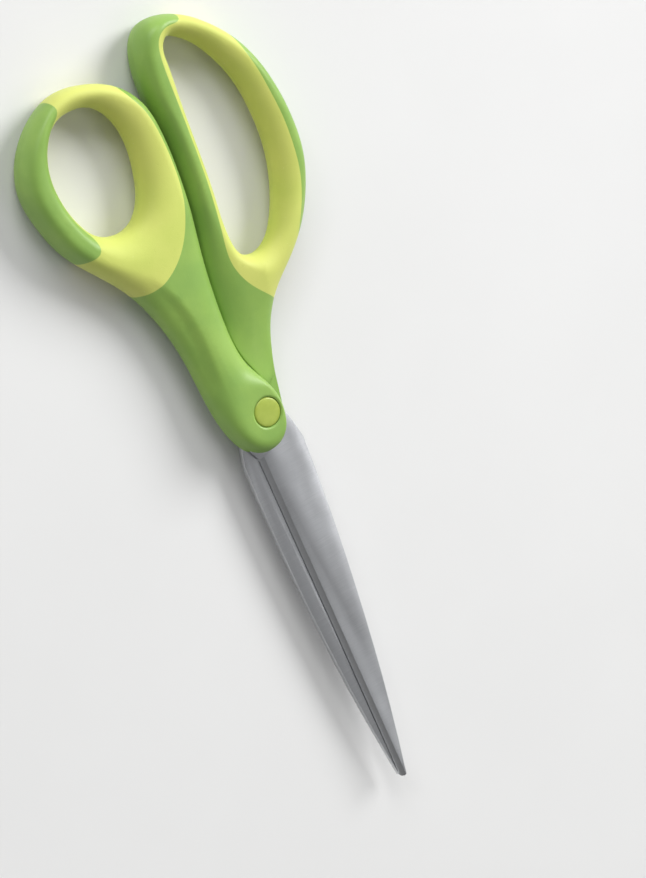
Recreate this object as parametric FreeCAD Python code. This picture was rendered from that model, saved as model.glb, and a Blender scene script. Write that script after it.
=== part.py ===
"""Office scissors, 200 mm long, lying closed on a table.

Right-handed, with stamped steel blades, hard plastic handles moulded over the
blade tangs, soft grips moulded over the handles and one adjustable pivot.

Frame: the pivot axis is the Z axis, Z = 0 is the table, +Y runs to the handles,
-Y to the tips, +X is the side of the long finger bow and -X the thumb bow.
All sizes are in millimetres.
"""
import FreeCAD, Part
import math
import os

V = FreeCAD.Vector

# ---- driving dimensions ----
THICKNESS = 11.0            # whole height of the closed scissors
MID = THICKNESS / 2         # the plane in which the two blades meet
BLADE_THICKNESS = 1.8
BLADE_GAP = 0.04            # each blade stands this far off the mid-plane
SHANK_GAP = 0.2             # each plastic shank stands this far off it
PARTING_GAP = 0.35          # between the two handles, seen from above
OUTER_ROUNDING = 2.6        # rounding of the bows' tube section, outside
HOLE_ROUNDING = 2.2         # and round the finger holes
SLOPE_TOP_Y = 38.0          # where the shank under the other one starts to thin
SLOPE_FOOT_Y = 4.0
SLOPE_FOOT = 0.4            # its height over the mid-plane there
SKIN = 1.5                  # thickness of the soft grips over the hard core

OUTLINE_STRETCHES = 6       # edges that each smooth closed outline is made of
OFFSET_DENSITY = 2          # points of an offset outline for each one of the original

# ---- pivot ----
BARREL_RADIUS = 2.3
BARREL_FIT = 0.02           # radial, in the finger blade
TURNING_FIT = 0.05          # radial, in the thumb blade
SCREW_RADIUS = 1.4
THREAD_FIT = 0.03
HEAD_RADIUS = 3.1
HEAD_HEIGHT = 1.3
HEAD_CHAMFER = 0.3
DRIVER_SLOT_WIDTH = 0.8
DRIVER_SLOT_DEPTH = 0.6
SCREW_END_GAP = 0.3         # free thread left under the end of the screw
WELL_RADIUS = 3.3           # room in the plastic for the head and the flange
FLANGE_HEIGHT = 1.2
CAP_RADIUS = 3.6
CAP_HEIGHT = 1.3
CAP_FIT = 0.02
CAP_ROUNDING = 0.3
WASHER_THICKNESS = 0.3
WASHER_RISE = 0.25          # height of the washer's cone
WASHER_INSIDE_FIT = 0.15    # radial, round the barrel
WASHER_OUTSIDE_FIT = 0.1    # radial, inside the head's edge
SWEEP_RADIUS = 6.8          # round the pivot, swept by the other half's boss
SWEEP_ANGLE = 34.5          # degrees above the X axis reached by its blade when open

# ---- blades ----
TIP = V(0.1, -102.0, 0)
TIP_SPINE = V(0.7, -101.2, 0)   # where the rounded tip meets the spine
TIP_EDGE = V(-0.7, -100.8, 0)   # and where it meets the cutting edge
SHOULDER = V(8.3, -11.0, 0)     # where the spine leaves the handle
SHOULDER_CURVE = V(6.9, -5.4, 0)  # on the arc from the shoulder to the tang
SPINE_BULGE = V(5.6, -62.0, 0)  # middle of the gently curved spine
HEEL = V(-4.4, -11.5, 0)        # start of the cutting edge
BEVEL_WIDTH = 1.6
BEVEL_EDGE = 0.35               # thickness left at the cutting edge
GRIND_WIDTH = 6.0
GRIND_DEPTH = 0.55
GRIND_OUTSIDE = 2.0             # a grinding wedge starts this far outside the edge
GRIND_LEAD = 1.0                # this far before the heel
GRIND_OVERRUN = 5.0             # and ends this far past the tip
TANG_HOLE_RADIUS = 1.4

# ---- outlines, seen from above ----
THUMB_OUTER = [
    (-17.7, 89.7), (-9.8, 88.6), (-3.2, 85.2), (1.3, 79.4), (3.1, 71), (3.3, 63),
    (2.4, 50), (1.1, 39), (0.4, 30), (0.2, 21), (1.3, 13), (3.6, 7.4), (5.4, 1.5),
    (5.0, -4), (2.4, -8.6), (-1.8, -10), (-6.2, -8), (-9.4, -3), (-11.3, 4),
    (-12.2, 12), (-12.8, 19), (-14, 26), (-15.9, 32.4), (-18.8, 38.8), (-24, 46.2),
    (-30.6, 55.1), (-33.9, 64), (-34.8, 72), (-32.1, 79.7), (-26, 86.2),
]
THUMB_HOLE = [
    (-16.4, 84.6), (-11.3, 83.5), (-7.2, 79), (-5.5, 72.3), (-6.2, 65), (-8.4, 58.6),
    (-12, 54.9), (-16.5, 54.1), (-21.5, 56), (-24.9, 60.5), (-27, 67), (-27.2, 74),
    (-24.5, 80.6), (-20.8, 83.8),
]
FINGER_OUTER = [
    (12.7, 95.6), (18.3, 93.9), (26.1, 87.9), (31.9, 80), (35.4, 70), (36.7, 59),
    (35.9, 50), (33.1, 42), (28.4, 34.6), (23.1, 29.3), (16.8, 24), (12.8, 18.5),
    (10.2, 12), (8.4, 5), (7.4, -1), (5.8, -6), (2.4, -9.4), (-2, -9.6), (-5, -6),
    (-5.7, -0.6), (-4.6, 4.6), (-2.6, 9.4), (-0.7, 15), (0.6, 22), (0.9, 30),
    (1.6, 39), (2.9, 50), (3.8, 63), (3.6, 71), (3.3, 80), (3.8, 87), (5.5, 92),
    (8.4, 95),
]
FINGER_HOLE = [
    (13.4, 90.1), (16.2, 89.2), (19.5, 86.6), (23.4, 81.3), (26.7, 74), (28.3, 65),
    (28.4, 57), (26.4, 47.5), (22.8, 40), (18.6, 35.6), (14.6, 34.5), (11, 36.3),
    (9.6, 40.5), (9.8, 52), (10.3, 64), (10.7, 77), (11.1, 85.5),
    (11.7, 88.8),
]
# Edge of the soft grip; where it leaves the handle it passes well outside.
THUMB_GRIP = [
    (-6.5, 93), (-3.4, 84.2), (-0.6, 78.5), (1.1, 71), (1.4, 63), (0.7, 56.5),
    (-1.2, 51), (-5, 45), (-10.5, 40.6), (-16.4, 38.9), (-22, 39.8), (-34, 44),
    (-42, 70), (-28, 98),
]
THUMB_BARE_SIDE = [
    (-22.4, 91.5), (-20.9, 88.8), (-20.6, 86.6), (-22.2, 84.3), (-25.6, 80.8),
    (-28.2, 74), (-28, 67), (-25.9, 60.2), (-24, 56.4), (-24.2, 53.3),
    (-27.5, 52.3), (-34, 52.6), (-42, 60), (-42, 80), (-30, 94),
]
FINGER_GRIP = [
    (18.2, 97), (17, 93), (12.8, 92.8), (9.6, 91), (8.5, 87.5), (8.2, 80),
    (8.2, 68), (7.8, 55), (6.8, 43), (6.4, 37), (7.6, 32), (10.6, 27.2),
    (14.2, 23.4), (22, 17), (44, 32), (46, 70), (32, 98),
]
# The long thin rim where the finger bow's core shows, on its outer side.
FINGER_BARE_RIM = [
    (27.3, 88.3), (28.5, 84.3), (29.8, 79.7), (31.1, 74.7), (32.1, 68.8), (32.8, 62.7),
    (32.8, 55.4), (31.9, 48.5), (30.1, 42.4), (27.9, 37.4), (26.9, 32.6), (31, 31),
    (38, 40), (41, 60), (36, 82),
]
THUMB_TANG = [
    (4.9, 0), (3.6, 5), (-1.6, 12), (-3.4, 22), (-5, 34), (-8.5, 44), (-13.5, 44),
    (-13.4, 34), (-10.6, 22), (-9.3, 12), (-8.2, 2), (-7.2, -6),
]
THUMB_TANG_HOLES = [(-6.6, 22), (-9.4, 36)]
FINGER_TANG = [
    (-4.9, 0), (-3.2, 6), (1.4, 14), (3.4, 24), (4.3, 34), (5.2, 40), (6.6, 40),
    (7.4, 34), (9, 24), (8.2, 14), (5.4, 4), (6.6, -6),
]
FINGER_TANG_HOLES = [(6.2, 20), (6.4, 31)]


def smooth_loop(points):
    """Closed spline through the points."""
    curve = Part.BSplineCurve()
    curve.interpolate([V(x, y, 0) for x, y in points], PeriodicFlag=True)
    return curve


def offset_points(points, distance):
    """Points of the same smooth outline, moved outwards by the distance."""
    curve = smooth_loop(points)
    area = sum(a[0] * b[1] - b[0] * a[1] for a, b in zip(points, points[1:] + points[:1]))
    outwards = math.copysign(distance, area)
    count = OFFSET_DENSITY * len(points)
    step = (curve.LastParameter - curve.FirstParameter) / count
    moved = []
    for k in range(count):
        at = curve.FirstParameter + k * step
        place, along = curve.value(at), curve.tangent(at)[0]
        moved.append((place.x + along.y * outwards, place.y - along.x * outwards))
    return moved


def closed_face(points, offset=0.0):
    """Plane face at Z = 0 inside one smooth closed curve, grown by the offset."""
    curve = smooth_loop(offset_points(points, offset) if offset else points)
    first, last = curve.FirstParameter, curve.LastParameter
    step = (last - first) / OUTLINE_STRETCHES
    edges = []
    for k in range(OUTLINE_STRETCHES):
        stretch = curve.copy()
        stretch.segment(first + k * step, first + (k + 1) * step)
        edges.append(stretch.toShape())
    return Part.Face(Part.Wire(edges))


def prism(face, low, high):
    """Upright solid over a plane face at Z = 0, from Z = low to Z = high."""
    lifted = face.copy()
    lifted.translate(V(0, 0, low))
    return lifted.extrude(V(0, 0, high - low))


def disc(radius, low, high, x=0.0, y=0.0):
    """Upright round solid."""
    return Part.makeCylinder(radius, high - low, V(x, y, low))


def mirrored(points):
    """The same outline on the other side of the Y axis."""
    return [(-x, y) for x, y in points]


def flat_edges(solid):
    """Edges that lie level."""
    return [edge for edge in solid.Edges if edge.BoundBox.ZLength < 0.01]


def on_hole(edge, hole):
    """Whether a level edge lies on the rim of the finger hole."""
    rim = Part.Wire(closed_face(hole).Edges)
    middle = edge.valueAt((edge.FirstParameter + edge.LastParameter) / 2)
    return rim.distToShape(Part.Vertex(V(middle.x, middle.y, 0)))[0] < 0.01


def rounded_bow(outer, hole):
    """Full-height ring of a handle, with its four long edges rounded."""
    solid = prism(closed_face(outer), 0, THICKNESS)
    solid = solid.makeFillet(OUTER_ROUNDING, flat_edges(solid))
    solid = solid.cut(prism(closed_face(hole), -1, THICKNESS + 1))
    rims = [edge for edge in flat_edges(solid) if on_hole(edge, hole)]
    return solid.makeFillet(HOLE_ROUNDING, rims)


def shank_room(other_outer, side, facing):
    """Room that one handle leaves for the other half, which lies above (+1) or below (-1).

    It holds the other shank's outline, what its blade sweeps as the scissors open, and
    the slope by which this shank thins towards the pivot. facing is +1 on the finger side.
    """
    reach = 30.0
    low, high = (MID - SHANK_GAP, THICKNESS + 1) if side > 0 else (-1, MID + SHANK_GAP)
    angle = math.radians(SWEEP_ANGLE)
    swept = Part.Face(Part.makePolygon([
        V(0, 0, 0), V(facing * reach * math.cos(angle), reach * math.sin(angle), 0),
        V(facing * reach, -reach, 0), V(0, -reach, 0), V(0, 0, 0),
    ]))
    room = prism(closed_face(other_outer, PARTING_GAP), low, high)
    room = room.fuse(prism(swept, low, high)).fuse(disc(SWEEP_RADIUS, low, high))
    outside = MID + side * (MID + 1)
    slope = Part.Face(Part.makePolygon([
        V(-reach, SLOPE_TOP_Y, MID + side * MID), V(-reach, SLOPE_FOOT_Y, MID + side * SLOPE_FOOT),
        V(-reach, -reach, MID + side * SLOPE_FOOT), V(-reach, -reach, outside),
        V(-reach, SLOPE_TOP_Y, outside), V(-reach, SLOPE_TOP_Y, MID + side * MID),
    ]))
    return room.fuse(slope.extrude(V(2 * reach, 0, 0)))


def blade_outline(tang):
    """Thumb blade outline: smooth tang, then shoulder, curved spine, tip and straight edge."""
    first = V(tang[0][0], tang[0][1], 0)
    last = V(tang[-1][0], tang[-1][1], 0)
    tang_curve = Part.BSplineCurve()
    tang_curve.interpolate([V(x, y, 0) for x, y in tang])
    edges = [
        tang_curve.toShape(),
        Part.makeLine(last, HEEL),
        Part.makeLine(HEEL, TIP_EDGE),
        Part.Arc(TIP_EDGE, TIP, TIP_SPINE).toShape(),
        Part.Arc(TIP_SPINE, SPINE_BULGE, SHOULDER).toShape(),
        Part.Arc(SHOULDER, SHOULDER_CURVE, first).toShape(),
    ]
    return Part.Face(Part.Wire(edges))


def edge_grind(width, depth, top):
    """Wedge that grinds the outer face of a thumb blade down towards its edge."""
    along = (TIP_EDGE - HEEL).normalize()
    inward = V(-along.y, along.x, 0)
    outside = HEEL - along * GRIND_LEAD - inward * GRIND_OUTSIDE
    inside = outside + inward * (width + GRIND_OUTSIDE)
    drop = depth * (width + GRIND_OUTSIDE) / width
    section = Part.makePolygon([
        inside + V(0, 0, top), outside + V(0, 0, top - drop), outside + V(0, 0, top + 1),
        inside + V(0, 0, top + 1), inside + V(0, 0, top),
    ])
    length = GRIND_LEAD + (TIP_EDGE - HEEL).Length + GRIND_OVERRUN
    return Part.Face(section).extrude(along * length)


def blade(tang, tang_holes, hole_radius):
    """Blade lying on Z = 0 with its flat inner face down and its bevels on top."""
    solid = prism(blade_outline(tang), 0, BLADE_THICKNESS)
    for x, y in tang_holes:
        solid = solid.cut(disc(TANG_HOLE_RADIUS, -1, BLADE_THICKNESS + 1, x, y))
    solid = solid.cut(disc(hole_radius, -1, BLADE_THICKNESS + 1))
    solid = solid.cut(edge_grind(GRIND_WIDTH, GRIND_DEPTH, BLADE_THICKNESS))
    bevel_depth = BLADE_THICKNESS - BEVEL_EDGE
    return solid.cut(edge_grind(BEVEL_WIDTH, bevel_depth, BLADE_THICKNESS))


def thumb_blade():
    """Front blade: its inner face looks down on the mid-plane."""
    solid = blade(THUMB_TANG, THUMB_TANG_HOLES, BARREL_RADIUS + TURNING_FIT)
    solid.translate(V(0, 0, MID + BLADE_GAP))
    return solid


def finger_blade():
    """Rear blade: the front one turned over about the Y axis, with its own tang."""
    solid = blade(mirrored(FINGER_TANG), mirrored(FINGER_TANG_HOLES),
                  BARREL_RADIUS + BARREL_FIT)
    solid.rotate(V(0, 0, 0), V(0, 1, 0), 180)
    solid.translate(V(0, 0, MID - BLADE_GAP))
    return solid


def pivot_well(side):
    """Stepped bore in a handle for the screw head or the flange, and for the cap."""
    face = THICKNESS if side > 0 else 0.0
    cap_seat = face - side * CAP_HEIGHT
    low, high = sorted((MID, cap_seat))
    seat_low, seat_high = sorted((cap_seat, face + side))
    return disc(WELL_RADIUS, low, high).fuse(disc(CAP_RADIUS + CAP_FIT, seat_low, seat_high))


def split_bow(bow, grip_edge, bare, outer, hole):
    """Share a bow between its hard core and the soft grip moulded round it."""
    inner_ring = closed_face(outer, -SKIN)
    inner_hole = closed_face(hole, SKIN)
    inner = prism(inner_ring, SKIN, THICKNESS - SKIN)
    inner = inner.cut(prism(inner_hole, 0, THICKNESS))
    grip = bow.common(prism(closed_face(grip_edge), -1, THICKNESS + 1))
    grip = grip.cut(prism(closed_face(bare), -1, THICKNESS + 1))
    grip = grip.cut(inner)
    return bow.cut(grip), grip


def thumb_handle_and_grip():
    """Thumb half: its shank lies in front of the finger half's near the pivot."""
    bow = rounded_bow(THUMB_OUTER, THUMB_HOLE).cut(shank_room(FINGER_OUTER, -1, -1))
    core, grip = split_bow(bow, THUMB_GRIP, THUMB_BARE_SIDE, THUMB_OUTER, THUMB_HOLE)
    return core.cut(pivot_well(1)).cut(thumb_blade()), grip


def finger_handle_and_grip():
    """Finger half: its shank lies behind the thumb half's near the pivot."""
    bow = rounded_bow(FINGER_OUTER, FINGER_HOLE).cut(shank_room(THUMB_OUTER, 1, 1))
    core, grip = split_bow(bow, FINGER_GRIP, FINGER_BARE_RIM, FINGER_OUTER, FINGER_HOLE)
    return core.cut(pivot_well(-1)).cut(finger_blade()), grip


def rear_blade_face():
    """Height of the finger blade's outer face, which the flange bears on."""
    return MID - BLADE_GAP - BLADE_THICKNESS


def front_blade_face():
    """Height of the thumb blade's outer face, which the washer bears on."""
    return MID + BLADE_GAP + BLADE_THICKNESS


def pivot_barrel():
    """Flanged sleeve nut: both blades turn on it."""
    flange = disc(HEAD_RADIUS, rear_blade_face() - FLANGE_HEIGHT, rear_blade_face())
    sleeve = disc(BARREL_RADIUS, rear_blade_face(), front_blade_face())
    thread = disc(SCREW_RADIUS + THREAD_FIT, rear_blade_face() - FLANGE_HEIGHT / 2, THICKNESS)
    return flange.fuse(sleeve).cut(thread).removeSplitter()


def washer_top():
    """Height of the spring washer's upper rim, where the screw head bears."""
    return front_blade_face() + WASHER_RISE + WASHER_THICKNESS


def spring_washer():
    """Coned washer that keeps the blades pressed together."""
    inner, outer = BARREL_RADIUS + WASHER_INSIDE_FIT, HEAD_RADIUS - WASHER_OUTSIDE_FIT
    base = front_blade_face()
    section = Part.makePolygon([
        V(inner, 0, base + WASHER_RISE), V(outer, 0, base),
        V(outer, 0, base + WASHER_THICKNESS), V(inner, 0, washer_top()),
        V(inner, 0, base + WASHER_RISE),
    ])
    return Part.Face(section).revolve(V(0, 0, 0), V(0, 0, 1), 360)


def pivot_screw():
    """Flat-headed screw with a driver slot, threaded into the barrel."""
    low = washer_top()
    head = disc(HEAD_RADIUS, low, low + HEAD_HEIGHT)
    top = low + HEAD_HEIGHT
    head = head.makeChamfer(HEAD_CHAMFER, [e for e in head.Edges if e.BoundBox.ZMin > top - 0.01])
    slot = Part.makeBox(2 * HEAD_RADIUS, DRIVER_SLOT_WIDTH, DRIVER_SLOT_DEPTH,
                        V(-HEAD_RADIUS, -DRIVER_SLOT_WIDTH / 2, top - DRIVER_SLOT_DEPTH))
    shank = disc(SCREW_RADIUS, rear_blade_face() - FLANGE_HEIGHT / 2 + SCREW_END_GAP, low)
    return head.cut(slot).fuse(shank).removeSplitter()


def cap(side):
    """Round cap that closes the pivot's well, flush with the handle's flat."""
    face = THICKNESS if side > 0 else 0.0
    low, high = sorted((face, face - side * CAP_HEIGHT))
    solid = disc(CAP_RADIUS, low, high)
    rim = [e for e in solid.Edges if abs(e.CenterOfMass.z - face) < 0.01]
    return solid.makeFillet(CAP_ROUNDING, rim)


def write(name, shape):
    """Check one node and write its STEP file."""
    print(f"{name:16s} solids {len(shape.Solids)}  valid {shape.isValid()}  "
          f"volume {shape.Volume:9.1f}")
    shape.exportStep(f"parts/{name}.step")


os.makedirs("parts", exist_ok=True)
thumb_handle, thumb_grip = thumb_handle_and_grip()
finger_handle, finger_grip = finger_handle_and_grip()
write("thumb_blade", thumb_blade())
write("finger_blade", finger_blade())
write("thumb_handle", thumb_handle)
write("thumb_grip", thumb_grip)
write("finger_handle", finger_handle)
write("finger_grip", finger_grip)
write("pivot_barrel", pivot_barrel())
write("pivot_screw", pivot_screw())
write("spring_washer", spring_washer())
write("front_cap", cap(1))
write("rear_cap", cap(-1))
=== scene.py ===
# %% [markdown]
# # Office scissors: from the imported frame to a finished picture
#
# The frame holds a pair of 200 mm office scissors lying closed on a table: two steel blades,
# two hard plastic handles moulded over the blades' tangs, two soft grips moulded over the
# handles, and a small pivot. The steel parts keep their exact shapes. The handles and grips
# get finer, sculpted meshes, and everything gets its finish. Lengths below are in
# millimetres, and they turn into metres when a mesh is made.

import math

import bmesh
import bpy
import numpy as np
from mathutils import Matrix, Vector, geometry


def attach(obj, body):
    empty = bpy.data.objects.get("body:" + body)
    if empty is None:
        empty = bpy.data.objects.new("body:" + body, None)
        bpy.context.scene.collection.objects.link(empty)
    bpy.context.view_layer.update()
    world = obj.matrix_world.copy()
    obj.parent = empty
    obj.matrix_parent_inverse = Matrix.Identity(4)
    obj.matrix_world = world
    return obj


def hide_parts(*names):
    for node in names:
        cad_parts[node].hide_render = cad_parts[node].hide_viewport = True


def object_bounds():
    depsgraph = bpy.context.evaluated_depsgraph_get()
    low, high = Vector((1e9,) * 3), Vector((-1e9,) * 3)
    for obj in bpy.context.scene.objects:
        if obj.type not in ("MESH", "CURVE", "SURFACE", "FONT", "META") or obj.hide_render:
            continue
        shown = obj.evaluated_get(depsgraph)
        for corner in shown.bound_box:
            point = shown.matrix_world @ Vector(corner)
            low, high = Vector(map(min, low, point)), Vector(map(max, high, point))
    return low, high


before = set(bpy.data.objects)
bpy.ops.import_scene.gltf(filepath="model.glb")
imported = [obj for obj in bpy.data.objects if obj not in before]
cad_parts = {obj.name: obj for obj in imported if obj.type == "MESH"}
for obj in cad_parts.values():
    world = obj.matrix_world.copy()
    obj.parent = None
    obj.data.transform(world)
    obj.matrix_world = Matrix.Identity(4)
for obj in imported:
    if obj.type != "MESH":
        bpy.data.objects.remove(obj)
cad_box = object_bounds()

MM = 0.001
THICKNESS = cad_box[1][2] / MM
MIDDLE = THICKNESS / 2
print("frame box in mm:", [[round(v / MM, 1) for v in corner] for corner in cad_box])

# %% [markdown]
# ## The camera
#
# The scissors are seen as if they stood tips down and leaned a little to the left, with their
# front turned to the right. Lying on a table, that same view is a camera that looks down past
# the thumb bow. So the camera is worked out from how the scissors stand in the view: which
# way their front faces, how far their long axis leans, and where the pivot lies.

# %% Place the camera
FRONT_TURN = 32.0     # degrees that the front face is turned to the right
FRONT_DROP = 5.0      # degrees that it is turned down
AXIS_LEAN = 21.5      # degrees that the long axis leans to the left
PIVOT_IN_VIEW = (-15.9, 6.8, -714.3)  # pivot from the lens: right, up and towards the viewer
LENS = 123.0          # focal length
NEAREST = 0.01        # metres from the lens at which things start to show


def view_axes():
    """The scissors' X, Y and Z axes as the camera sees them: right, up, towards the viewer."""
    turn, drop, lean = (math.radians(a) for a in (FRONT_TURN, FRONT_DROP, AXIS_LEAN))
    front = Vector((math.sin(turn) * math.cos(drop), -math.sin(drop),
                    math.cos(turn) * math.cos(drop)))
    along = Vector((-math.sin(lean), math.cos(lean), 0))
    along.z = -(front.x * along.x + front.y * along.y) / front.z
    along.normalize()
    return along.cross(front), along, front


def link(piece):
    """Put an object into the scene."""
    bpy.context.scene.collection.objects.link(piece)
    return piece


def place_camera():
    """Camera that sees the scissors so, with the pivot at its stated place."""
    axes = view_axes()
    pivot = Vector(PIVOT_IN_VIEW)
    turn = Matrix([list(axis) for axis in axes])
    place = Vector((0, 0, MIDDLE)) - turn @ pivot
    camera = link(bpy.data.objects.new("camera", bpy.data.cameras.new("camera")))
    camera.data.lens = LENS
    camera.data.clip_start = NEAREST
    camera.matrix_world = Matrix.Translation(place * MM) @ turn.to_4x4()
    bpy.context.scene.camera = camera
    return camera


camera = place_camera()
print("camera at", [round(v, 3) for v in camera.matrix_world.translation])

# %% [markdown]
# ## Outlines
#
# Seen from above, each handle is one smooth closed outline with a hole for the fingers, and
# the border between hard plastic and soft grip is a smooth curve too. They are the same
# curves that shape the plain parts in the frame, so each is a short list of points and a
# cubic spline runs through them. A modeller could draw them as Bezier curves, but numbers
# that later steps can measure distances from are more useful here.

# %% Outlines of the handles
THUMB_OUTER = [
    (-17.7, 89.7), (-9.8, 88.6), (-3.2, 85.2), (1.3, 79.4), (3.1, 71), (3.3, 63),
    (2.4, 50), (1.1, 39), (0.4, 30), (0.2, 21), (1.3, 13), (3.6, 7.4), (5.4, 1.5),
    (5.0, -4), (2.4, -8.6), (-1.8, -10), (-6.2, -8), (-9.4, -3), (-11.3, 4),
    (-12.2, 12), (-12.8, 19), (-14, 26), (-15.9, 32.4), (-18.8, 38.8), (-24, 46.2),
    (-30.6, 55.1), (-33.9, 64), (-34.8, 72), (-32.1, 79.7), (-26, 86.2),
]
THUMB_HOLE = [
    (-16.4, 84.6), (-11.3, 83.5), (-7.2, 79), (-5.5, 72.3), (-6.2, 65), (-8.4, 58.6),
    (-12, 54.9), (-16.5, 54.1), (-21.5, 56), (-24.9, 60.5), (-27, 67), (-27.2, 74),
    (-24.5, 80.6), (-20.8, 83.8),
]
FINGER_OUTER = [
    (12.7, 95.6), (18.3, 93.9), (26.1, 87.9), (31.9, 80), (35.4, 70), (36.7, 59),
    (35.9, 50), (33.1, 42), (28.4, 34.6), (23.1, 29.3), (16.8, 24), (12.8, 18.5),
    (10.2, 12), (8.4, 5), (7.4, -1), (5.8, -6), (2.4, -9.4), (-2, -9.6), (-5, -6),
    (-5.7, -0.6), (-4.6, 4.6), (-2.6, 9.4), (-0.7, 15), (0.6, 22), (0.9, 30),
    (1.6, 39), (2.9, 50), (3.8, 63), (3.6, 71), (3.3, 80), (3.8, 87), (5.5, 92),
    (8.4, 95),
]
FINGER_HOLE = [
    (13.4, 90.1), (16.2, 89.2), (19.5, 86.6), (23.4, 81.3), (26.7, 74), (28.3, 65),
    (28.4, 57), (26.4, 47.5), (22.8, 40), (18.6, 35.6), (14.6, 34.5), (11, 36.3),
    (9.6, 40.5), (9.8, 52), (10.3, 64), (10.7, 77), (11.1, 85.5), (11.7, 88.8),
]

print("outlines through", [len(o) for o in (THUMB_OUTER, THUMB_HOLE, FINGER_OUTER, FINGER_HOLE)],
      "points")

# %% Borders of the soft grips
# A grip lies inside its GRIP curve and outside its BARE curve. Where a curve leaves the handle,
# it passes well outside.
THUMB_GRIP = [
    (-6.5, 93), (-3.4, 84.2), (-0.6, 78.5), (1.1, 71), (1.4, 63), (0.7, 56.5),
    (-1.2, 51), (-5, 45), (-10.5, 40.6), (-16.4, 38.9), (-22, 39.8), (-34, 44),
    (-42, 70), (-28, 98),
]
THUMB_BARE = [
    (-22.4, 91.5), (-20.9, 88.8), (-20.6, 86.6), (-22.2, 84.3), (-25.6, 80.8),
    (-28.2, 74), (-28, 67), (-25.9, 60.2), (-24, 56.4), (-24.2, 53.3),
    (-27.5, 52.3), (-34, 52.6), (-42, 60), (-42, 80), (-30, 94),
]
FINGER_GRIP = [
    (18.2, 97), (17, 93), (12.8, 92.8), (9.6, 91), (8.5, 87.5), (8.2, 80),
    (8.2, 68), (7.8, 55), (6.8, 43), (6.4, 37), (7.6, 32), (10.6, 27.2),
    (14.2, 23.4), (22, 17), (44, 32), (46, 70), (32, 98),
]
FINGER_BARE = [
    (27.3, 88.3), (28.5, 84.3), (29.8, 79.7), (31.1, 74.7), (32.1, 68.8), (32.8, 62.7),
    (32.8, 55.4), (31.9, 48.5), (30.1, 42.4), (27.9, 37.4), (26.9, 32.6), (31, 31),
    (38, 40), (41, 60), (36, 82),
]

print("grip borders through", [len(o) for o in (THUMB_GRIP, THUMB_BARE, FINGER_GRIP, FINGER_BARE)],
      "points")

# %% Splines and distances
SPACING = 0.7           # between points along a curve
SPLINE_STEPS = 40       # steps from one given point to the next, before the even spacing
POINTS_AT_ONCE = 500    # how many distances are worked out together, to spare memory


def spline_loop(points, spacing=SPACING):
    """Evenly spaced points on the smooth closed curve through the given ones."""
    knots = np.array(points, float)
    count = len(knots)
    ahead = np.roll(knots, -1, axis=0) - knots
    chord = np.linalg.norm(ahead, axis=1)
    matrix, target = np.zeros((count, count)), np.zeros((count, 2))
    for i in range(count):
        before, after = chord[i - 1], chord[i]
        matrix[i, i - 1] += after
        matrix[i, i] += 2 * (before + after)
        matrix[i, (i + 1) % count] += before
        target[i] = 3 * (after * ahead[i - 1] / before + before * ahead[i] / after)
    slopes = np.linalg.solve(matrix, target)
    t = np.linspace(0, 1, SPLINE_STEPS, endpoint=False)[:, None]
    fine = []
    for i in range(count):
        j = (i + 1) % count
        fine.append((2 * t**3 - 3 * t**2 + 1) * knots[i]
                    + (t**3 - 2 * t**2 + t) * chord[i] * slopes[i]
                    + (3 * t**2 - 2 * t**3) * knots[j]
                    + (t**3 - t**2) * chord[i] * slopes[j])
    fine = np.concatenate(fine + [fine[0][:1]])
    run = np.concatenate([[0], np.cumsum(np.linalg.norm(np.diff(fine, axis=0), axis=1))])
    at = np.linspace(0, run[-1], max(8, int(round(run[-1] / spacing))), endpoint=False)
    return np.stack([np.interp(at, run, fine[:, k]) for k in (0, 1)], axis=1)


def inward(loop):
    """Unit vectors that point into a closed loop, at each of its points."""
    along = np.roll(loop, -1, axis=0) - np.roll(loop, 1, axis=0)
    along /= np.linalg.norm(along, axis=1)[:, None]
    following = np.roll(loop, -1, axis=0)
    area = np.sum(loop[:, 0] * following[:, 1] - following[:, 0] * loop[:, 1])
    return np.stack([-along[:, 1], along[:, 0]], axis=1) * np.sign(area)


def inside(points, loop):
    """Whether each point lies within a closed loop, by counting crossings."""
    ends = np.roll(loop, -1, axis=0)
    x, y = points[:, 0:1], points[:, 1:2]
    spans = (loop[:, 1] > y) != (ends[:, 1] > y)
    rise = np.where(ends[:, 1] == loop[:, 1], 1.0, ends[:, 1] - loop[:, 1])
    crossing = loop[:, 0] + (y - loop[:, 1]) * (ends[:, 0] - loop[:, 0]) / rise
    return (np.sum(spans & (x < crossing), axis=1) % 2) == 1


def distance(points, loop):
    """Shortest distance from each point to a closed loop."""
    start, step = loop, np.roll(loop, -1, axis=0) - loop
    length2 = np.sum(step**2, axis=1)
    best = np.full(len(points), np.inf)
    for low in range(0, len(points), POINTS_AT_ONCE):
        part = points[low:low + POINTS_AT_ONCE, None, :]
        along = np.clip(np.sum((part - start) * step, axis=2) / length2, 0, 1)
        gap = np.linalg.norm(part - start - along[:, :, None] * step, axis=2)
        best[low:low + POINTS_AT_ONCE] = gap.min(axis=1)
    return best


print("thumb outline:", len(spline_loop(THUMB_OUTER)), "points on the curve")

# %% [markdown]
# ## The handles' round sections
#
# On the real scissors each bow is a round-sided tube, and the shanks swell out of it. One way
# to make that is to sweep a section along a path, but the section changes all the way and
# meets the shank in a fork. Here the shape is built as two sheets over the outline, a front
# and a rear one, whose height at a point depends on how far the point is from each border.
# Near a border the sheet stands upright, and further in it levels off, so every section is
# round. The seam between plastic and grip is then a curve on one common surface, as flush
# as on a real two-colour moulding.

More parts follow.
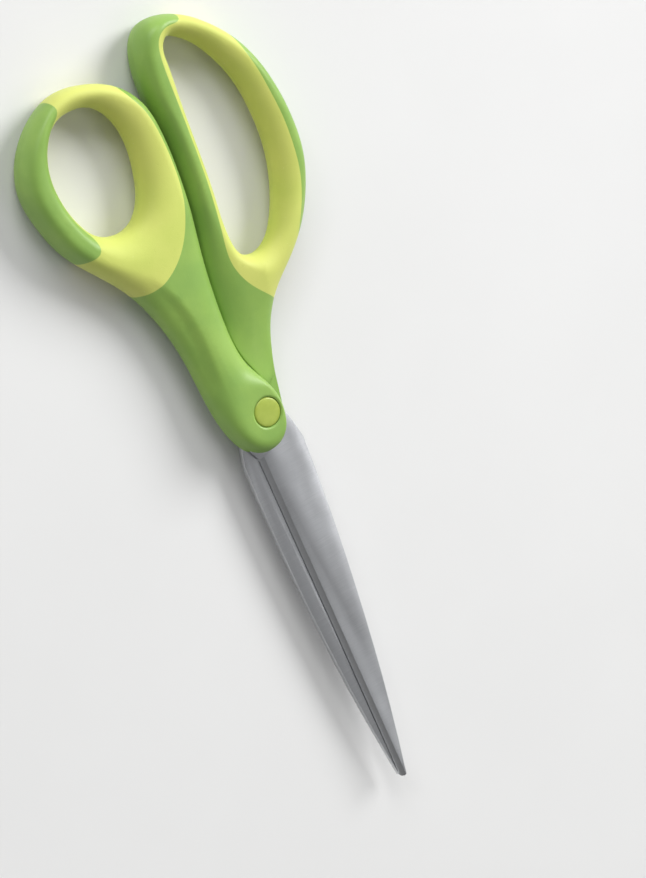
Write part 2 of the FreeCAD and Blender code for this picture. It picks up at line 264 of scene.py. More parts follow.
# %% Rounding of a section
ROUNDING = 3.3          # distance from an outer border over which a surface levels off
SHANK_ROUNDING = 7.2    # the shanks are rounder
SHANK_TO_BOW = (34, 54)     # the shank turns into the bow between these heights
HOLE_ROUNDING = 8.2     # the walls of a finger hole flare more slowly
TIGHT_ROUNDING = 3.0    # except on the limb that lies further left in each bow
UNDERSIDE = 0.68        # the rear sheet levels off over this share of those distances
CROWN = 9.0             # slower swelling of the wide areas
CROWN_SHARE = 0.2
BOSS_ROUNDING = 1.5     # tighter round the pivot
BOSS_TO_SHANK = (5.5, 12)   # between these distances from the pivot
CIRCLE, PLUMP = 2, 2.3  # a power of 2 gives a round quarter, and more gives a fuller one


def rounding(gap, reach, power=PLUMP):
    """0 at a border, 1 where the gap is at least the reach, upright at the border."""
    t = 1 - np.clip(gap / reach, 0, 1)
    return np.sqrt(np.clip(1 - t**power, 0, 1))


def ease(value, low, high):
    """Smooth step from 0 at low to 1 at high."""
    t = np.clip((value - low) / (high - low), 0, 1)
    return t * t * (3 - 2 * t)


def blend(a, b, share):
    """a where the share is 0, and b where it is 1."""
    return a + (b - a) * share


print("a surface 1 mm inside a border has risen to", round(float(rounding(1.0, ROUNDING)), 2))

# %% Where one half passes under the other
PARTING = 0.35          # gap between the two handles
SHANK_GAP = 0.2         # each shank stays this far off the middle plane
SLOPE_FOOT = 3.0        # the shank that passes underneath thins towards the pivot,
SLOPE_TOP = 40.0        # from this height down,
FOOT_SHARE = 0.14       # to this share
RAMP_START = 0.5        # beside the crossing shank the surface climbs like a ramp,
RAMP_WIDTH = 13.0       # from that share to its whole height over this width
RAMP_POWER = 0.8
RAMP_TO_BOW = (30, 58)  # further up the ramp turns into the round limb of the bow
SWEEP_RADIUS = 6.8      # round the pivot, kept free for the other half's boss
SWEEP_ANGLE = math.radians(34.5)    # over the X axis, kept free for its blade
SWEEP_ROUNDING = 1.5
print("a shank thins to", round(FOOT_SHARE * (MIDDLE - SHANK_GAP), 2), "mm under the other one")

# %% The terrace on a shank and the seat of a cap
CREASE_X = -9.1         # the raised body of the shank ends at a crease, straight at its foot
CREASE_FOOT = 18.0      # and from this height bending out
CREASE_BEND = 0.0029
CREASE_POWER = 2.4
CREASE_WIDTH = 1.5
TERRACE = 0.17          # share of the height lost beyond the crease
TERRACE_STARTS = (7, 14)    # between these heights
TERRACE_ENDS = (31, 45)     # and it is gone between these
CAP_SEAT_RADIUS = 3.65
CAP_SEAT_DEPTH = 1.2
SEAT_EDGE = 0.22        # the seat's edge is broken by this much
SEAT_EDGE_RADIUS = 4.2
print("the terrace lies", round(TERRACE * (THICKNESS - MIDDLE), 2), "mm lower")

# %% Heights of the two sheets of a half
class Half:
    """One handle with its grip, as curves and as heights over them. facing is +1 for the
    thumb half, whose shank passes in front, and -1 for the finger half, which passes behind.
    flare is the range along X over which the walls of the hole turn from tight to flared."""

    def __init__(self, outer, hole, other, grip, bare, facing, flare):
        self.outer, self.hole = spline_loop(outer), spline_loop(hole)
        other = spline_loop(other)
        self.other = other - inward(other) * PARTING
        self.grip, self.bare = spline_loop(grip), spline_loop(bare)
        self.facing, self.flare = facing, flare
        self.level = MIDDLE + facing * SHANK_GAP

    def body(self, points, share):
        """Rounding of a sheet, 0 at the borders of the plastic. The share is how much of the
        usual distance it takes to level off."""
        to_outer, to_hole = distance(points, self.outer), distance(points, self.hole)
        near_pivot = 1 - ease(np.linalg.norm(points, axis=1), *BOSS_TO_SHANK)
        hole_reach = blend(TIGHT_ROUNDING, HOLE_ROUNDING, ease(points[:, 0], *self.flare))
        outer_reach = blend(SHANK_ROUNDING, ROUNDING, ease(points[:, 1], *SHANK_TO_BOW))
        sides = rounding(to_outer, outer_reach * share) * rounding(to_hole, hole_reach * share)
        crown = rounding(to_outer, CROWN, CIRCLE) * rounding(to_hole, CROWN, CIRCLE)
        full = blend(sides, crown, CROWN_SHARE)
        return blend(full, rounding(to_outer, BOSS_ROUNDING, CIRCLE), near_pivot)

    def passing(self, points):
        """Share of the height left where the other half passes over this one."""
        gap = distance(points, self.other)
        gap[inside(points, self.other)] = 0
        x, y = points[:, 0] * -self.facing, points[:, 1]
        slope = blend(FOOT_SHARE, 1, ease(y, SLOPE_FOOT, SLOPE_TOP))
        ramp = blend(RAMP_START, 1, np.clip(gap / RAMP_WIDTH, 0, 1) ** RAMP_POWER)
        ramp = blend(ramp * rounding(gap, PARTING), rounding(gap, ROUNDING),
                     ease(y, *RAMP_TO_BOW))
        past_blade = y * math.cos(SWEEP_ANGLE) - x * math.sin(SWEEP_ANGLE)
        clear = rounding(np.clip(past_blade, 0, None), SWEEP_ROUNDING)
        clear *= rounding(np.clip(np.hypot(x, y) - SWEEP_RADIUS, 0, None), SWEEP_ROUNDING)
        return ramp * slope * np.where(y > 0, clear, 0)

    def heights(self, points):
        """Upper and lower height at each point."""
        front, rear = self.body(points, 1), self.body(points, UNDERSIDE)
        radius = np.linalg.norm(points, axis=1)
        seat = np.where(radius < CAP_SEAT_RADIUS, CAP_SEAT_DEPTH,
                        SEAT_EDGE * (1 - ease(radius, CAP_SEAT_RADIUS, SEAT_EDGE_RADIUS)))
        sculpted, low_share = self.sculpt(points), self.passing(points)
        over, under = THICKNESS - self.level, self.level
        if self.facing > 0:
            top = self.level + over * front * sculpted - seat
            bottom = self.level - under * rear * low_share
        else:
            top = self.level + over * front * low_share
            bottom = self.level - under * rear * sculpted + seat
        return top, bottom

    def sculpt(self, points):
        """Share of the height left on the outer face of the shank, with its lower terrace."""
        x, y = points[:, 0] * self.facing, points[:, 1]
        crease = CREASE_X - CREASE_BEND * np.clip(y - CREASE_FOOT, 0, None) ** CREASE_POWER
        beyond = ease(crease - x, -CREASE_WIDTH, CREASE_WIDTH)
        along = ease(y, *TERRACE_STARTS) * (1 - ease(y, *TERRACE_ENDS))
        return 1 - TERRACE * beyond * along


thumb_half = Half(THUMB_OUTER, THUMB_HOLE, FINGER_OUTER, THUMB_GRIP, THUMB_BARE, facing=1,
                  flare=(-28, -14))
finger_half = Half(FINGER_OUTER, FINGER_HOLE, THUMB_OUTER, FINGER_GRIP, FINGER_BARE, facing=-1,
                   flare=(9, 20))
print("the shanks meet at", [round(half.level, 2) for half in (finger_half, thumb_half)], "mm")

# %% [markdown]
# ## From heights to meshes
#
# A regular grid would leave jagged borders. A constrained Delaunay triangulation instead
# takes the outlines, the seams and a few inset copies of the outlines as given edges, and
# fills the rest with even triangles. The inset copies lie close together near a border,
# where the surface turns fast.

# %% Inset copies of the borders
INSET_ANGLES = (13, 26, 39, 52, 65, 78)     # round the section, in degrees
INSET_SLACK = 0.02      # an inset copy ends where another border is nearer than this allows
OTHER_HALF_GAP = 0.3    # copies of the other half's outline may come this near to a border


def inset_loops(half):
    """Edges along the borders, at depths that follow a rounded section."""
    borders = ((half.outer, 1), (half.hole, -1), (half.other, -1))
    chains = []
    for loop, side in borders:
        normal = inward(loop) * side
        for angle in INSET_ANGLES:
            depth = ROUNDING * (1 - math.cos(math.radians(angle)))
            moved = loop + normal * depth
            gap = np.min([distance(moved, other) for other, _ in borders[:2]], axis=0)
            kept = ((gap > depth - INSET_SLACK)
                    | ((loop is half.other) & (gap > OTHER_HALF_GAP)))
            chains.append((moved, kept))
    return chains


print(len(INSET_ANGLES), "copies of each border, the deepest",
      round(ROUNDING * (1 - math.cos(math.radians(INSET_ANGLES[-1]))), 2), "mm in")

# %% Triangulate the plan of a half
SEAM_REACH = 1.5        # seams are kept this far outside the handle
SEAT_RINGS = (CAP_SEAT_RADIUS - 0.03, CAP_SEAT_RADIUS + 0.03, 3.8, 3.95, 4.1, 4.25)
SEAT_STEPS = 64
GRID = 0.85             # side of the even triangles
GRID_GAP = 0.55         # a grid point keeps this share of a side from the edges' points
SAME_POINT = 1e-4


def plan_mesh(half):
    """Points and triangles over the plan of a half, with every border among the edges."""
    points, edges = [], []

    def add(loop, kept=None):
        kept = np.ones(len(loop), bool) if kept is None else kept
        start = len(points)
        index = np.cumsum(kept) - 1 + start
        points.extend(map(tuple, loop[kept]))
        for i in range(len(loop)):
            j = (i + 1) % len(loop)
            if kept[i] and kept[j]:
                edges.append((int(index[i]), int(index[j])))

    add(half.outer)
    add(half.hole)
    for border in (half.grip, half.bare, half.other):
        add(border, inside(border, half.outer + inward(half.outer) * -SEAM_REACH))
    for radius in SEAT_RINGS:
        turn = np.linspace(0, 2 * math.pi, SEAT_STEPS, endpoint=False)
        add(np.stack([np.cos(turn), np.sin(turn)], axis=1) * radius)
    for moved, kept in inset_loops(half):
        add(moved, kept & inside(moved, half.outer))
    low, high = half.outer.min(axis=0), half.outer.max(axis=0)
    xs = np.arange(low[0], high[0], GRID)
    ys = np.arange(low[1], high[1], GRID * math.sqrt(3) / 2)
    grid = np.array([(x + (k % 2) * GRID / 2, y) for k, y in enumerate(ys) for x in xs])
    placed = np.array(points)
    grid = grid[inside(grid, half.outer) & ~inside(grid, half.hole)]
    nearest = np.array([np.min(np.sum((placed - g)**2, axis=1)) for g in grid])
    points.extend(map(tuple, grid[nearest > (GRID_GAP * GRID)**2]))
    verts, _, faces, *_ = geometry.delaunay_2d_cdt(
        [Vector(p) for p in points], edges, [], 0, SAME_POINT)
    verts = np.array([tuple(v) for v in verts])
    faces = np.array([tuple(f) for f in faces])
    centres = verts[faces].mean(axis=1)
    keep = inside(centres, half.outer) & ~inside(centres, half.hole)
    return verts, faces[keep], centres[keep]


print("triangles are about", GRID, "mm wide")

# %% Normals
# A surface is shaded smooth by its normals. Taken from uneven triangles they ripple, so where
# the ground is gentle they come from the slope of the heights themselves.
SLOPE_STEP = 0.04       # over which a slope is measured
FROM_RIM = (0.3, 0.9)   # slopes are trusted from this far inside a border,
FROM_SEAT = (4.3, 4.8)  # from this far off the pivot,
STEEP = (1.5, 4)        # and while they are less steep than this


def vertex_normals(verts, faces):
    """Area-weighted normals of a triangle mesh."""
    corners = verts[faces]
    face_normal = np.cross(corners[:, 1] - corners[:, 0], corners[:, 2] - corners[:, 0])
    normals = np.zeros_like(verts)
    for k in range(3):
        np.add.at(normals, faces[:, k], face_normal)
    return normals / np.maximum(np.linalg.norm(normals, axis=1), 1e-12)[:, None]


def gentle_normals(half, plan):
    """Normals of both sheets from the slope of their heights, and how far to trust them: fully
    on gentle ground, and not at all where a sheet stands upright."""
    right, left, up, down = (half.heights(plan + np.array(way) * SLOPE_STEP)
                             for way in ((1, 0), (-1, 0), (0, 1), (0, -1)))
    rim_gap = np.minimum(distance(plan, half.outer), distance(plan, half.hole))
    away = ease(rim_gap, *FROM_RIM) * ease(np.linalg.norm(plan, axis=1), *FROM_SEAT)
    found = []
    for sheet, sign in ((0, 1), (1, -1)):
        dx = (right[sheet] - left[sheet]) / (2 * SLOPE_STEP)
        dy = (up[sheet] - down[sheet]) / (2 * SLOPE_STEP)
        normal = np.column_stack([-dx, -dy, np.ones(len(plan))]) * sign
        normal /= np.linalg.norm(normal, axis=1)[:, None]
        found.append((normal, away * (1 - ease(np.hypot(dx, dy), *STEEP))))
    return found


print("slopes up to", STEEP[0], "in 1 give their own normals")

# %% Make a mesh
def make_piece(name, verts, faces, normals, smooth_count):
    """Mesh object in metres. The first faces are smooth and share the given normals."""
    used = np.unique(faces)
    lookup = np.full(len(verts), -1)
    lookup[used] = np.arange(len(used))
    mesh = bpy.data.meshes.new(name)
    mesh.from_pydata((verts[used] * MM).tolist(), [], lookup[faces].tolist())
    smooth = np.arange(len(faces)) < smooth_count
    mesh.polygons.foreach_set("use_smooth", smooth)
    loop_normals = normals[used][lookup[faces]]
    loop_normals[~smooth] = 0
    mesh.normals_split_custom_set(loop_normals.reshape(-1, 3).tolist())
    mesh.update()
    return link(bpy.data.objects.new(name, mesh))


print("mesh maker is ready")

# %% Build the two sheets and share them between plastic and grip
ON_RIM = 1e-3     # a point this near to a border belongs to both sheets


def build_half(half, core_name, grip_name):
    """Hard core and soft grip of one half, as two closed meshes with a flush seam."""
    plan, faces, centres = plan_mesh(half)
    top, bottom = half.heights(plan)
    count = len(plan)
    rim = (distance(plan, half.outer) < ON_RIM) | (distance(plan, half.hole) < ON_RIM)
    verts = np.concatenate([np.column_stack([plan, top]), np.column_stack([plan, bottom])])
    below = np.where(rim, np.arange(count), np.arange(count) + count)
    a = plan[faces[:, 0]]
    first, second = plan[faces[:, 1]] - a, plan[faces[:, 2]] - a
    clockwise = first[:, 0] * second[:, 1] < first[:, 1] * second[:, 0]
    faces[clockwise] = faces[clockwise][:, ::-1]
    both = np.concatenate([faces, below[faces[:, ::-1]]])
    normals = vertex_normals(verts, both)
    gentle = gentle_normals(half, plan)
    for sheet, (slope_normal, share) in zip((slice(0, count), slice(count, None)), gentle):
        normals[sheet] = blend(normals[sheet], slope_normal, share[:, None])
    in_grip = inside(centres, half.grip) & ~inside(centres, half.bare)
    pieces = []
    for name, chosen in ((core_name, faces[~in_grip]), (grip_name, faces[in_grip])):
        sheet = np.concatenate([chosen, below[chosen[:, ::-1]]])
        directed = np.concatenate([chosen[:, [0, 1]], chosen[:, [1, 2]], chosen[:, [2, 0]]])
        seen = {tuple(edge) for edge in directed.tolist()}
        walls = []
        for i, j in directed.tolist():
            if (j, i) in seen or (rim[i] and rim[j]):
                continue
            walls += [(i, below[i], below[j])] if below[i] != i else []
            walls += [(i, below[j], j)] if below[j] != j else []
        all_faces = np.concatenate([sheet, np.array(walls)]) if walls else sheet
        pieces.append(make_piece(name, verts, all_faces, normals, len(sheet)))
        print(name, "has", len(all_faces), "triangles,", len(walls), "of them at the seam")
    return pieces


thumb_core, thumb_soft = build_half(thumb_half, "thumb_handle_shell", "thumb_grip_skin")
finger_core, finger_soft = build_half(finger_half, "finger_handle_shell", "finger_grip_skin")
for piece, node, body, slot in (
        (thumb_core, "thumb_handle", "thumb_half", "handle_plastic"),
        (thumb_soft, "thumb_grip", "thumb_half", "grip_rubber"),
        (finger_core, "finger_handle", "finger_half", "handle_plastic"),
        (finger_soft, "finger_grip", "finger_half", "grip_rubber")):
    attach(piece, body)
    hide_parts(node)

# %% [markdown]
# ## Blades and caps
#
# A blade is stamped and ground, so its flat faces are truly flat, and the frame already has
# them. What a plain part lacks is the tiny broken edge that every real blade has and that
# catches the light. It could be cut edge by edge in edit mode, but a bevel modifier with
# hardened normals finds every sharp edge by itself and leaves the faces flat. The pivot's caps
# are small round mouldings. A cylinder with a bevel would do, but a profile turned as on a
# lathe gives the slight dome and the tighter rim as well.

# %% Break the edges of the blades
BROKEN_EDGE = 0.07 * MM
EDGE_STEPS = 2
SHARP = math.radians(20)        # edges that turn more than this are broken
FLAT = math.radians(0.6)        # faces that turn less than this are one face
SAME_CORNER = 0.002 * MM


def broken_blade(name, node):
    """Copy of a blade whose sharp edges are broken."""
    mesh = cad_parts[node].data.copy()
    mesh.name = name
    shape = bmesh.new()
    shape.from_mesh(mesh)
    bmesh.ops.remove_doubles(shape, verts=shape.verts, dist=SAME_CORNER)
    bmesh.ops.dissolve_limit(shape, angle_limit=FLAT, verts=shape.verts, edges=shape.edges)
    shape.to_mesh(mesh)
    shape.free()
    mesh.polygons.foreach_set("use_smooth", [True] * len(mesh.polygons))
    piece = link(bpy.data.objects.new(name, mesh))
    edge = piece.modifiers.new("broken edge", "BEVEL")
    edge.width, edge.segments = BROKEN_EDGE, EDGE_STEPS
    edge.limit_method, edge.angle_limit = "ANGLE", SHARP
    edge.harden_normals = True
    edge.use_clamp_overlap = False
    return piece


blades = []
for name, node, body in (("thumb_blade_ground", "thumb_blade", "thumb_half"),
                         ("finger_blade_ground", "finger_blade", "finger_half")):
    blades.append(broken_blade(name, node))
    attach(blades[-1], body)
    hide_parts(node)
print("blades have", [len(b.data.polygons) for b in blades], "faces before their edges are broken")

# %% Turn the caps
CAP_RADIUS = 3.55
CAP_FOOT = -1.15        # depth of the cap's hidden face
CAP_LEVEL = 0.02        # the cap's top stays this far inside the scissors' full thickness
CAP_PROFILE = [(0, 0), (1.2, -0.01), (2.3, -0.04), (2.9, -0.08), (3.2, -0.13), (3.38, -0.2),
               (3.5, -0.32), (CAP_RADIUS, -0.48), (CAP_RADIUS, CAP_FOOT), (0, CAP_FOOT)]
CAP_CORNER = math.radians(50)   # edges sharper than this stay sharp
TURNS = 96


def turned(name, profile, level, facing):
    """Round piece from (radius, height) pairs, facing up or down."""
    verts, rows = [], []
    for radius, height in profile:
        steps = TURNS if radius else 1
        row = []
        for k in range(steps):
            angle = 2 * math.pi * k / steps
            row.append(len(verts))
            verts.append((radius * math.cos(angle) * MM, radius * math.sin(angle) * MM,
                          (level + height * facing) * MM))
        rows.append(row)
    faces = []
    for inner, outer in zip(rows, rows[1:]):
        for k in range(TURNS):
            quad = [inner[k % len(inner)], outer[k % len(outer)],
                    outer[(k + 1) % len(outer)], inner[(k + 1) % len(inner)]]
            faces.append(list(dict.fromkeys(quad))[::facing])
    mesh = bpy.data.meshes.new(name)
    mesh.from_pydata(verts, [], faces)
    mesh.polygons.foreach_set("use_smooth", [True] * len(faces))
    mesh.set_sharp_from_angle(angle=CAP_CORNER)
    return link(bpy.data.objects.new(name, mesh))


caps = []
for name, node, body, level, facing in (
        ("front_cap_disc", "front_cap", "thumb_half", THICKNESS - CAP_LEVEL, 1),
        ("rear_cap_disc", "rear_cap", "finger_half", CAP_LEVEL, -1)):
    caps.append(turned(name, CAP_PROFILE, level, facing))
    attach(caps[-1], body)
    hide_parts(node)
print("caps turned with", TURNS, "steps each")

# %% [markdown]
# ## Shader maths
#
# A finish varies over a surface: a little mottling in the colour, a fine grain, some rubbed
# spots. That takes many small nodes, so two classes keep them readable. A Wire is a socket
# that can be added and multiplied like a number, and a Finish is a material being made. The
# nodes could also be placed by hand in the shader editor, but a formula on one line is easier
# to read and to change than a dozen boxes.

# %% Wires and finishes
class Wire:
    """Output of a node, with arithmetic that adds Math nodes."""

    def __init__(self, finish, socket):
        self.finish, self.socket = finish, socket

    def math(self, operation, first, second=0.0):
        return self.finish.node("ShaderNodeMath", {"operation": operation}, {0: first, 1: second})

    def __add__(self, other):
        return self.math("ADD", self, other)

    def __sub__(self, other):
        return self.math("SUBTRACT", self, other)

    def __rsub__(self, other):
        return self.math("SUBTRACT", other, self)

    def __mul__(self, other):
        return self.math("MULTIPLY", self, other)

    def __truediv__(self, other):
        return self.math("DIVIDE", self, other)

    __radd__, __rmul__ = __add__, __mul__

    def absolute(self):
        return self.math("ABSOLUTE", self)

    def sine(self):
        return self.math("SINE", self)

    def band(self, low, high):
        """0 below low, 1 above high, and smooth between."""
        return self.finish.node("ShaderNodeMapRange", {"interpolation_type": "SMOOTHSTEP"},
                                {"Value": self, "From Min": low, "From Max": high})


class Finish:
    """Material with one Principled shader. What is the same all over is set on its sockets."""

    def __init__(self, name, **constant):
        self.material = bpy.data.materials.new(name)
        self.material.use_nodes = True
        self.tree = self.material.node_tree
        self.shader = self.tree.nodes["Principled BSDF"]
        for key, value in constant.items():
            self.shader.inputs[key.replace("_", " ")].default_value = value
        place = self.tree.nodes.new("ShaderNodeTexCoord")
        self.place = Wire(self, place.outputs["Object"])

    def node(self, kind, settings, inputs, output=0):
        """Any node, from its type, its settings and the values or wires of its sockets."""
        made = self.tree.nodes.new(kind)
        for key, value in settings.items():
            setattr(made, key, value)
        for key, value in inputs.items():
            if isinstance(value, Wire):
                self.tree.links.new(value.socket, made.inputs[key])
            else:
                made.inputs[key].default_value = value
        return Wire(self, made.outputs[output])

    def noise(self, size, detail=3.0, stretch=(1, 1, 1), shift=0.0):
        """Noise whose features are about the given size in millimetres."""
        scale = tuple(1 / (size * MM * s) for s in stretch)
        where = self.node("ShaderNodeMapping", {}, {"Vector": self.place, "Scale": scale,
                                                    "Location": (shift, shift, shift)})
        return self.node("ShaderNodeTexNoise", {}, {"Vector": where, "Scale": 1.0,
                                                    "Detail": detail, "Roughness": 0.55})

    def part(self, axis):
        """One coordinate of the piece, in metres."""
        return self.node("ShaderNodeSeparateXYZ", {}, {"Vector": self.place}, axis)

    def mix(self, first, second, share):
        """Colour between two colours."""
        settings = {"data_type": "RGBA", "clamp_factor": True}
        return self.node("ShaderNodeMix", settings, {0: share, 6: first, 7: second}, 2)

    def feed(self, **wires):
        """Link wires to the shader's sockets."""
        for key, wire in wires.items():
            self.tree.links.new(wire.socket, self.shader.inputs[key.replace("_", " ")])

    def relief(self, *layers):
        """Bump from pairs of a height wire and its depth in millimetres."""
        normal = None
        for height, depth in layers:
            inputs = {"Height": height, "Distance": depth * MM, "Strength": 1.0}
            if normal:
                inputs["Normal"] = normal
            normal = self.node("ShaderNodeBump", {}, inputs)
        self.feed(Normal=normal)


print("shader helpers are ready")

# %% [markdown]
# ## Hard green plastic
#
# The handles are moulded from a tinted polypropylene. The mould is spark-eroded to a fine
# satin grain, the pigment is never quite even, and a thin line runs round the sides where
# the mould's two halves meet. Handling rubs the grain smoother in soft patches and leaves a
# few hairline scratches along the shanks. All this could be painted on images, but noise at
# the right sizes needs no unwrapping and stays sharp however near one looks.

# %% Plastic
GREEN = (0.285, 0.46, 0.092, 1)
GREEN_DEEP = (0.235, 0.405, 0.082, 1)
GREEN_PALE = (0.34, 0.54, 0.13, 1)
LINE_WIDTH = 0.16 * MM     # from the middle of the moulding line to its edge


def moulding_line(finish):
    """1 on the thin line round the sides, 0 elsewhere."""
    return 1 - ((finish.part("Z") - MIDDLE * MM).absolute() / LINE_WIDTH).band(0.4, 1.0)


def plastic():
    """Satin plastic. The streaks and scratches run along the handles."""
    finish = Finish("satin green plastic", IOR=1.49, Specular_IOR_Level=0.42)
    mottle = finish.noise(size=12, detail=4).band(0.35, 0.7)
    streak = finish.noise(size=5, detail=3, stretch=(1, 6, 1), shift=4).band(0.45, 0.8)
    grain = finish.noise(size=0.32, detail=2, shift=9)
    rubbed = finish.noise(size=11, detail=3, shift=20).band(0.5, 0.72)
    scratch = finish.noise(size=0.22, detail=4, stretch=(1, 26, 1), shift=31).band(0.7, 0.76)
    line = moulding_line(finish)
    colour = finish.mix(GREEN_DEEP, GREEN, mottle)
    colour = finish.mix(colour, GREEN_PALE, streak * 0.15 + scratch * 0.25)
    colour = finish.mix(colour, GREEN_DEEP, line * 0.3 + grain.band(0.6, 0.75) * 0.12)
    rough = 0.43 - rubbed * 0.09 + (grain - 0.5) * 0.14 + scratch * 0.08
    finish.feed(Base_Color=colour, Roughness=rough)
    finish.relief((grain, 0.016), (scratch, -0.008), (line, 0.03))
    return finish.material


green = plastic()
print("made", green.name, "with", len(green.node_tree.nodes), "nodes")

# %% [markdown]
# ## Soft lime grip
#
# The grips are a soft elastomer. It is duller than the plastic, with a velvety film of light
# at grazing angles, a finer and rounder grain, and it picks up faint dust and a slightly
# polished look where fingers press. A rough surface alone looks like chalk, so a little of the
# shader's sheen gives the velvet, and the grain is a bump, because it is too fine for a mesh.

# %% Grip
LIME = (0.6, 0.66, 0.155, 1)
LIME_WARM = (0.64, 0.66, 0.17, 1)
LIME_DEEP = (0.5, 0.59, 0.11, 1)
DUST = (0.82, 0.83, 0.5, 1)


def soft_grip():
    """Dull elastomer with pores, dust and pressed patches."""
    finish = Finish("soft lime grip", IOR=1.45, Specular_IOR_Level=0.35, Sheen_Weight=0.12,
                    Sheen_Roughness=0.4)
    mottle = finish.noise(size=13, detail=4, shift=3).band(0.38, 0.68)
    warm = finish.noise(size=28, detail=2, shift=12).band(0.4, 0.65)
    grain = finish.noise(size=0.26, detail=2, shift=7)
    pores = finish.noise(size=0.7, detail=3, shift=15).band(0.62, 0.74)
    dust = finish.noise(size=0.5, detail=2, shift=25).band(0.71, 0.77)
    pressed = finish.noise(size=9, detail=2, shift=33).band(0.52, 0.72)
    line = moulding_line(finish)
    colour = finish.mix(LIME_DEEP, LIME, mottle * 0.45 + 0.55)
    colour = finish.mix(colour, LIME_WARM, warm * 0.7)
    colour = finish.mix(colour, LIME_DEEP, line * 0.25 + pores * 0.18)
    colour = finish.mix(colour, DUST, dust * 0.35)
    rough = 0.6 - pressed * 0.1 + (grain - 0.5) * 0.12 + pores * 0.06
    finish.feed(Base_Color=colour, Roughness=rough)
    finish.relief((grain, 0.02), (pores, -0.012), (line, 0.025))
    return finish.material


lime = soft_grip()
print("made", lime.name, "with", len(lime.node_tree.nodes), "nodes")

# %% [markdown]
# ## Cap plastic
#
# The caps are pressed-in discs of the same family of plastic as the handles, in a duller
# yellow green, with the faint rings that a turned mould insert leaves on them. The rings could
# be modelled in the profile, but they are only a few thousandths of a millimetre deep, and a
# sine of the distance from the pivot, used as a bump, is enough.

# %% Caps
CAP_GREEN = (0.35, 0.44, 0.065, 1)
CAP_PALE = (0.43, 0.52, 0.09, 1)
MOULD_PITCH = 0.35        # from one ring to the next


def rings(finish, pitch):
    """Turning rings round the pivot with a little wobble, as a height from 0 to 1."""
    flat = finish.node("ShaderNodeVectorMath", {"operation": "MULTIPLY"},
                       {0: finish.place, 1: (1, 1, 0)})
    radius = finish.node("ShaderNodeVectorMath", {"operation": "LENGTH"}, {0: flat}, "Value")
    wobble = finish.noise(size=1.5, detail=2, shift=2) * (0.1 * MM)
    phase = (radius + wobble) * (2 * math.pi / (pitch * MM))
    return phase.sine() * 0.5 + 0.5


def cap_plastic():
    """Plastic from a turned mould."""
    finish = Finish("cap plastic", IOR=1.49, Specular_IOR_Level=0.45)
    turning = rings(finish, MOULD_PITCH)
    mottle = finish.noise(size=2.2, detail=3).band(0.35, 0.7)
    grain = finish.noise(size=0.2, detail=2, shift=5)
    colour = finish.mix(CAP_GREEN, CAP_PALE, mottle * 0.4 + turning * 0.12)
    finish.feed(Base_Color=colour, Roughness=0.34 + (grain - 0.5) * 0.15 + turning * 0.05)
    finish.relief((turning, 0.006), (grain, 0.008))
    return finish.material


cap_finish = cap_plastic()
print("made", cap_finish.name, "with", len(cap_finish.node_tree.nodes), "nodes")

# %% [markdown]
# ## Blade steel
#
# The blades are stainless steel, ground across their length, so very fine lines run from
# edge to edge. The narrow cutting bevel is ground again and looks brighter. A faint oily film
# makes the gloss uneven in soft clouds. The shader's anisotropy could stretch the reflections
# without any lines, but noise stretched 40 to 60 times shows the single lines up close. The
# bevels need no mask of their own: they are where the surface isn't level.

# %% Steel
STEEL = (0.5, 0.51, 0.525, 1)
STEEL_DARK = (0.39, 0.4, 0.42, 1)
STEEL_BRIGHT = (0.63, 0.64, 0.65, 1)
LATHE_PITCH = 0.12        # from one turning mark of the pivot's parts to the next


def blade_steel():
    """Steel with grinding lines along X."""
    finish = Finish("ground blade steel", Metallic=1.0)
    fine = finish.noise(size=0.09, detail=3, stretch=(60, 1, 20))
    coarse = finish.noise(size=0.35, detail=3, stretch=(40, 1, 20), shift=6)
    film = finish.noise(size=14, detail=4, shift=11).band(0.4, 0.68)
    spots = finish.noise(size=0.8, detail=2, shift=17).band(0.73, 0.8)
    normal = finish.node("ShaderNodeNewGeometry", {}, {}, "True Normal")
    level = finish.node("ShaderNodeSeparateXYZ", {}, {"Vector": normal}, "Z").absolute()
    bevel = 1 - level.band(0.93, 0.985)
    colour = finish.mix(STEEL_DARK, STEEL, fine.band(0.3, 0.7) * 0.6 + 0.4)
    colour = finish.mix(colour, STEEL_BRIGHT, bevel * 0.5 + coarse.band(0.55, 0.8) * 0.35)
    colour = finish.mix(colour, STEEL_DARK, spots * 0.4 + film * 0.12)
    rough = 0.3 + fine * 0.12 + film * 0.07 - bevel * 0.06
    finish.feed(Base_Color=colour, Roughness=rough)
    finish.relief((fine, 0.006), (coarse, 0.008))
    return finish.material


def turned_steel():
    """Steel with the marks of a lathe round the pivot."""
    finish = Finish("turned pivot steel", Metallic=1.0)
    turning = rings(finish, LATHE_PITCH)
    film = finish.noise(size=1.6, detail=3).band(0.4, 0.7)
    colour = finish.mix(STEEL_DARK, STEEL_BRIGHT, turning * 0.5 + film * 0.3)
    finish.feed(Base_Color=colour, Roughness=0.22 + film * 0.12 + turning * 0.05)
    finish.relief((turning, 0.005))
    return finish.material


blade_finish, pivot_finish = blade_steel(), turned_steel()
print("made", blade_finish.name, "and", pivot_finish.name)

# %% Put the finishes on
finishes = {thumb_core: green, finger_core: green, thumb_soft: lime, finger_soft: lime,
            caps[0]: cap_finish, caps[1]: cap_finish, blades[0]: blade_finish,
            blades[1]: blade_finish}
for piece, material in finishes.items():
    piece.data.materials.clear()
    piece.data.materials.append(material)
for node in ("pivot_barrel", "pivot_screw", "spring_washer"):
    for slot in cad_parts[node].material_slots:
        slot.material = pivot_finish
print(len(finishes), "pieces have their finish")

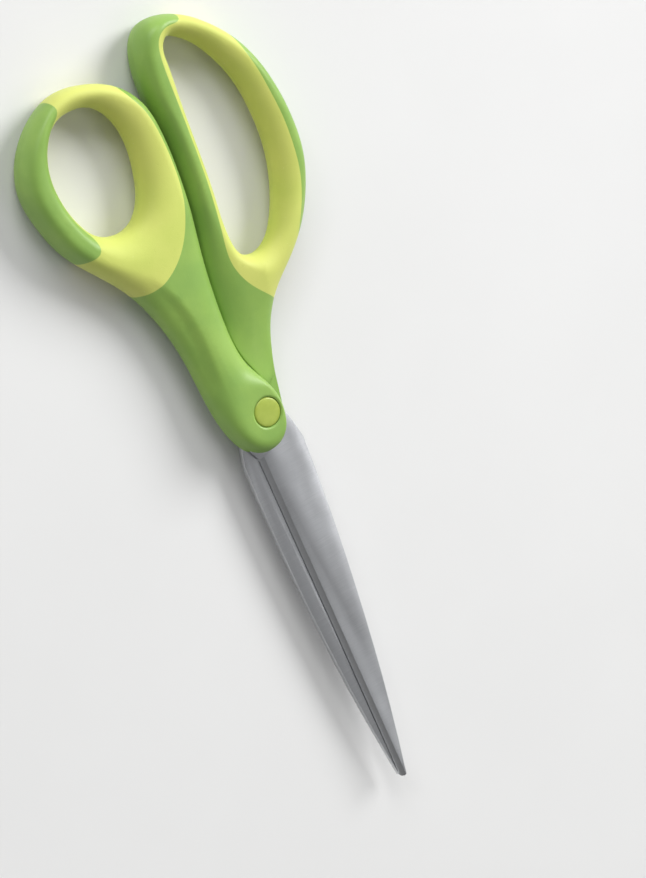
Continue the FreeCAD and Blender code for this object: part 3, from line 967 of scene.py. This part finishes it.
# %% [markdown]
# ## Floor and light
#
# The scissors lie on a pale matt table. A large soft lamp stands on the side of the long bow,
# a wide one stands beyond the tops of the bows, and two weak ones lift the blades and the
# round bow. They are far enough away to light the table evenly. An image of a studio could do
# the same, but single lamps can be moved and dimmed one by one. The surroundings fill the
# shadows and are paler near the horizon, where a low view looks past the table. The view
# transform is the plain one, so that the greens stay as saturated as they were mixed.

# %% Floor
TABLE_PALE = (0.775, 0.775, 0.77, 1)
TABLE_DEEP = (0.762, 0.762, 0.757, 1)
HALF_TABLE = 4.0      # metres


def table_top():
    """Matt table with faint clouds and a fine grain."""
    finish = Finish("pale table")
    cloud = finish.noise(size=60, detail=3).band(0.3, 0.7)
    grain = finish.noise(size=0.8, detail=3, shift=8)
    finish.feed(Base_Color=finish.mix(TABLE_DEEP, TABLE_PALE, cloud),
                Roughness=0.55 + grain * 0.15)
    finish.relief((grain, 0.01))
    return finish.material


corners = [(x * HALF_TABLE, y * HALF_TABLE, 0) for x, y in ((-1, -1), (1, -1), (1, 1), (-1, 1))]
floor_mesh = bpy.data.meshes.new("table_top")
floor_mesh.from_pydata(corners, [], [(0, 1, 2, 3)])
floor_mesh.materials.append(table_top())
floor = link(bpy.data.objects.new("table_top", floor_mesh))
print("table top is", 2 * HALF_TABLE, "m wide")

# %% Light
AIM = Vector((0, 0.03, 0))      # a point on the handles, just above the pivot


def soft_lamp(name, way, size, power):
    """Round lamp at the end of an arrow from the scissors, facing them, in metres and watts."""
    light = bpy.data.lights.new(name, "AREA")
    light.shape, light.size, light.energy = "DISK", size, power
    lamp = link(bpy.data.objects.new(name, light))
    lamp.location = AIM + Vector(way)
    lamp.rotation_euler = (-Vector(way)).to_track_quat("-Z", "Y").to_euler()
    return lamp


lamps = [soft_lamp("side lamp", way=(1.87, 0.59, 1.32), size=1.3, power=54),
         soft_lamp("top lamp", way=(0.11, 2.13, 1.54), size=1.55, power=31),
         soft_lamp("front lamp", way=(1.0, -1.17, 2.31), size=1.1, power=4.4),
         soft_lamp("small lamp", way=(-0.88, 1.8, 1.21), size=0.44, power=5.8)]
bpy.context.scene.view_settings.view_transform = "Standard"
print("soft lamps with", [round(lamp.data.energy, 1) for lamp in lamps], "W")

# %% Surroundings
HORIZON = 0.7         # brightness low down, where it can be seen past the table,
SKY = 0.23            # and overhead, where it only fills the shadows
HORIZON_TOP = 0.12    # sines of the angles over the horizon between which it changes
SKY_START = 0.3

world = bpy.data.worlds.new("pale surroundings")
bpy.context.scene.world = world
world.use_nodes = True
nodes, links = world.node_tree.nodes, world.node_tree.links
way = nodes.new("ShaderNodeTexCoord")
parts = nodes.new("ShaderNodeSeparateXYZ")
fade = nodes.new("ShaderNodeMapRange")
fade.interpolation_type = "SMOOTHSTEP"
for socket, value in (("From Min", HORIZON_TOP), ("From Max", SKY_START),
                      ("To Min", HORIZON), ("To Max", SKY)):
    fade.inputs[socket].default_value = value
links.new(way.outputs["Generated"], parts.inputs["Vector"])
links.new(parts.outputs["Z"], fade.inputs["Value"])
links.new(fade.outputs["Result"], nodes["Background"].inputs["Strength"])
nodes["Background"].inputs["Color"].default_value = (1, 1, 1, 1)
print("surroundings fade from", HORIZON, "at the horizon to", SKY, "overhead")
